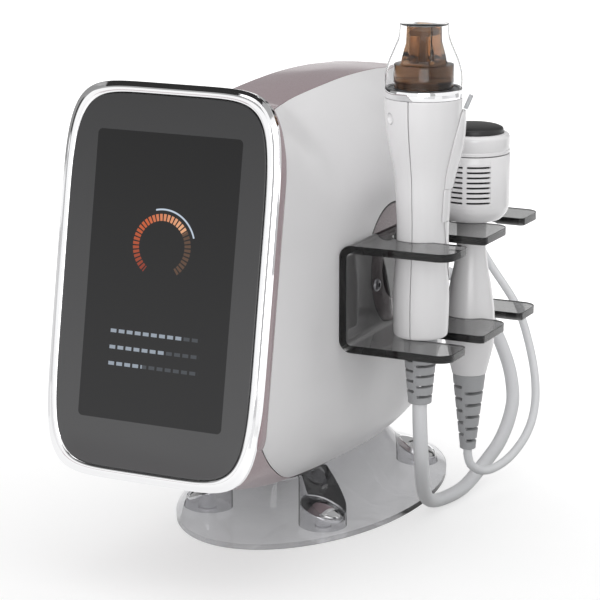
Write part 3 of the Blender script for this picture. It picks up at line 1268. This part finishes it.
def build_inlet(looks, face):
    flange = BOARD_THICKNESS
    out = face + PANEL_THICKNESS
    depth = 4 * FAN_BLADE_THICKNESS + SOCKET_NOSE
    inlet = block("power_inlet", (INLET_X - INLET_HALF_WIDTH, out - depth, INLET_Z - INLET_HALF_HEIGHT),
                  (INLET_X + INLET_HALF_WIDTH, out + flange, INLET_Z + INLET_HALF_HEIGHT), looks["black"])
    wall = BOARD_THICKNESS
    cavity = block("inlet_cavity", (INLET_X - INLET_HALF_WIDTH + wall, out - depth + 2 * wall,
                                    INLET_Z - INLET_HALF_HEIGHT + wall),
                   (INLET_X + INLET_HALF_WIDTH - wall, out + OVERRUN,
                    INLET_Z + INLET_HALF_HEIGHT - wall), None)
    boolean(inlet, cavity)
    pins = []
    for k in (-1, 0, 1):
        x = INLET_X + k * INLET_HALF_WIDTH / 2
        z = INLET_Z + (INLET_HALF_HEIGHT / 4 if k == 0 else -INLET_HALF_HEIGHT / 6)
        half = FAN_BLADE_THICKNESS
        pins.append(block("pin", (x - half, out - depth + wall, z - 2 * half),
                          (x + half, out - wall, z + 2 * half), None))
    boolean(inlet, joined("inlet_pins", pins), "UNION")
    swing = SWITCH_HALF_HEIGHT * 0.92
    half = SWITCH_HALF_WIDTH - GAP
    lift = math.tan(SWITCH_TILT) * swing
    outline = [(out - SHELL_THICKNESS, -0.55 * swing), (out + lift * 0.3, -swing), (out + 0.9 * lift, 0.0),
               (out + 2.2 * lift, swing), (out - SHELL_THICKNESS, 0.55 * swing)]
    pivot = blank("switch_pivot", (INLET_X, out, SWITCH_Z))
    rings = [[(side * half, y - out, z) for y, z in outline] for side in (-1, 1)]
    skin("rocker_switch", rings, looks["black"], pivot)


def build_fan(looks, face):
    """A square fan frame on the rear panel's inside, with its rotor on the frame's pin."""
    front = face - FAN_DEPTH - GAP
    frame = rounded_box("fan_frame", (FAN_X - FAN_HALF, front, FAN_Z - FAN_HALF),
                        (FAN_X + FAN_HALF, face - GAP, FAN_Z + FAN_HALF), 0.1 * FAN_HALF,
                        looks["black"], axis="Y")
    duct = 0.9 * FAN_HALF
    cutters = [prism("duct", circle(duct, LARGE_STEPS, (FAN_X, FAN_Z)), front - OVERRUN, face + OVERRUN,
                     None, axis="Y")]
    boolean(frame, cutters[0])
    bar = FAN_BLADE_THICKNESS * 1.4
    arm = block("fan_arm", (FAN_X - FAN_HALF * 0.95, front, FAN_Z - 2 * bar),
                (FAN_X + FAN_HALF * 0.95, front + bar, FAN_Z + 2 * bar), None)
    boolean(frame, arm, "UNION")
    pin = prism("fan_pin", circle(FAN_PIN_RADIUS, 8, (FAN_X, FAN_Z)), front + bar / 2,
                front + 0.7 * FAN_DEPTH,
                None, axis="Y")
    boolean(frame, pin, "UNION")
    low = front + bar + GAP
    high = low + 0.72 * FAN_DEPTH
    bore = FAN_PIN_RADIUS + GAP
    profile = ((bore, 0.0), (FAN_HUB_RADIUS, 0.0), (FAN_HUB_RADIUS, high - low), (0.0, high - low),
               (0.0, high - low - bar), (bore, high - low - bar))
    hub = turned("fan_rotor", profile, looks["dark"], steps=SMALL_STEPS)
    hub.matrix_world = Matrix.Translation((FAN_X, low, FAN_Z)) @ Matrix.Rotation(-math.pi / 2, 4, "X")
    blades = []
    tip = duct - 4 * GAP
    twist = math.radians(32)
    for k in range(FAN_BLADES):
        turn = math.tau * k / FAN_BLADES
        rings = []
        for radius in (FAN_HUB_RADIUS * 0.8, (FAN_HUB_RADIUS + tip) / 2, tip):
            half = 0.42 * (high - low) / math.cos(twist)
            ring = []
            for along, side in ((-1, -1), (1, -1), (1, 1), (-1, 1)):
                depth = along * half * math.cos(twist) - side * FAN_BLADE_THICKNESS / 2 * math.sin(twist)
                across = along * half * math.sin(twist) + side * FAN_BLADE_THICKNESS / 2 * math.cos(twist)
                angle = turn + across / radius
                x = FAN_X + radius * math.sin(angle)
                z = FAN_Z + radius * math.cos(angle)
                ring.append((x, (low + high) / 2 + depth, z))
            rings.append(ring)
        blades.append(skin("blade", rings, None))
    blade_set = joined("fan_blades", blades)
    boolean(hub, blade_set, "UNION")


# Centre, half width, half depth and height of each part on the board, as shares of its size
BOARD_PART_SHARES = (
    (-0.45, 0.25, 0.30, 0.12, 0.30), (0.40, 0.28, 0.22, 0.16, 0.42),
    (-0.40, 0.70, 0.26, 0.16, 0.24), (0.38, 0.72, 0.30, 0.10, 0.34),
)


def build_inside(looks):
    """Tray on the underside, with the supply on it and two boards on standoffs."""
    middle = half_section(8)
    keel_top = middle[-1].y + SHELL_THICKNESS
    tray = block("chassis_tray", (-TRAY_HALF_WIDTH, TRAY_FRONT, TRAY_Z),
                 (TRAY_HALF_WIDTH, TRAY_REAR, TRAY_Z + TRAY_THICKNESS), looks["steel"])
    legs = []
    for y in (-0.42 * BODY_REAR, -0.10 * BODY_REAR):
        legs.append(prism("leg", circle(2 * STANDOFF_RADIUS, 8, (0.0, y)), keel_top + 2 * GAP,
                          TRAY_Z + TRAY_THICKNESS / 2, None))
    boards_z = TRAY_Z + TRAY_THICKNESS + STANDOFF_HEIGHT
    front_board = (TRAY_FRONT + OVERRUN, -2 * OVERRUN)
    for x in (-0.8 * TRAY_HALF_WIDTH, 0.8 * TRAY_HALF_WIDTH):
        for y in (front_board[0] + OVERRUN, front_board[1] - OVERRUN):
            legs.append(prism("standoff", circle(STANDOFF_RADIUS, 8, (x, y)), TRAY_Z + TRAY_THICKNESS / 2,
                              boards_z - GAP, None))
    boolean(tray, joined("tray_posts", legs), "UNION")
    half = 0.92 * TRAY_HALF_WIDTH
    board = block("radiofrequency_board", (-half, front_board[0], boards_z),
                  (half, front_board[1], boards_z + BOARD_THICKNESS), looks["board"])
    parts = []
    for x, y, w, d, h in BOARD_PART_SHARES:
        cx = x * half
        cy = front_board[0] + y * (front_board[1] - front_board[0])
        parts.append(block("part", (cx - w * half, cy - d * half, boards_z + BOARD_THICKNESS / 2),
                           (cx + w * half, cy + d * half, boards_z + h * half), None))
    boolean(board, joined("board_parts", parts), "UNION")
    block("power_supply", (-0.75 * TRAY_HALF_WIDTH, 0.0, TRAY_Z + TRAY_THICKNESS + GAP),
          (0.75 * TRAY_HALF_WIDTH, TRAY_REAR - OVERRUN, TRAY_Z + TRAY_THICKNESS + SUPPLY_HEIGHT),
          looks["steel"])


def main():
    clear_scene()
    looks = {
        "white": material("white_abs", (0.86, 0.86, 0.87), 0.35),
        "rose": material("rose_paint", (0.66, 0.53, 0.54), 0.30, 0.4),
        "mauve": material("mauve_paint", (0.38, 0.27, 0.29), 0.28, 0.3),
        "chrome": material("chromed_abs", (0.92, 0.92, 0.93), 0.06, 1.0),
        "steel": material("machined_steel", (0.62, 0.63, 0.65), 0.30, 1.0),
        "black": material("black_abs", (0.02, 0.02, 0.02), 0.35),
        "dark": material("dark_abs", (0.09, 0.09, 0.10), 0.25),
        "glass": material("touch_glass", (0.07, 0.07, 0.07), 0.05),
        "board": material("circuit_board", (0.03, 0.22, 0.12), 0.5),
        "grey": material("grey_tpe", (0.45, 0.46, 0.48), 0.55),
        "cord": material("pale_pvc", (0.72, 0.73, 0.75), 0.45),
        "clear": material("clear_acrylic", (0.85, 0.87, 0.88), 0.04, 0.0, 0.35),
        "smoke": material("smoked_acrylic", (0.16, 0.16, 0.17), 0.05, 0.0, 0.6),
        "amber": material("amber_polycarbonate", (0.45, 0.24, 0.10), 0.12, 0.0, 0.8),
    }
    right_shell, left_shell = build_body(looks)
    build_discs(looks, right_shell, left_shell)
    build_screen(looks)
    build_base(looks)
    build_feet(looks)
    build_holder(looks)
    needle_axis = blank("needle_axis", (NEEDLE_X, NEEDLE_Y, 0))
    cooling_axis = blank("cooling_axis", (COOLING_X, COOLING_Y, 0))
    build_needle_handpiece(looks, needle_axis)
    build_cartridge(looks, needle_axis)
    build_cap(looks, needle_axis)
    build_cooling_handpiece(looks, cooling_axis)
    build_sockets(looks)
    build_rear(looks)
    build_inside(looks)
    cord("needle_cord", (NEEDLE_X, NEEDLE_Y, NEEDLE_RELIEF_TIP), NEEDLE_ROUTE, NEEDLE_CORD_RADIUS,
         NEEDLE_SOCKET_Z, 36, looks["cord"])
    cord("cooling_cord", (COOLING_X, COOLING_Y, COOLING_RELIEF_TIP), COOLING_ROUTE, COOLING_CORD_RADIUS,
         COOLING_SOCKET_Z, 38, looks["cord"])


main()
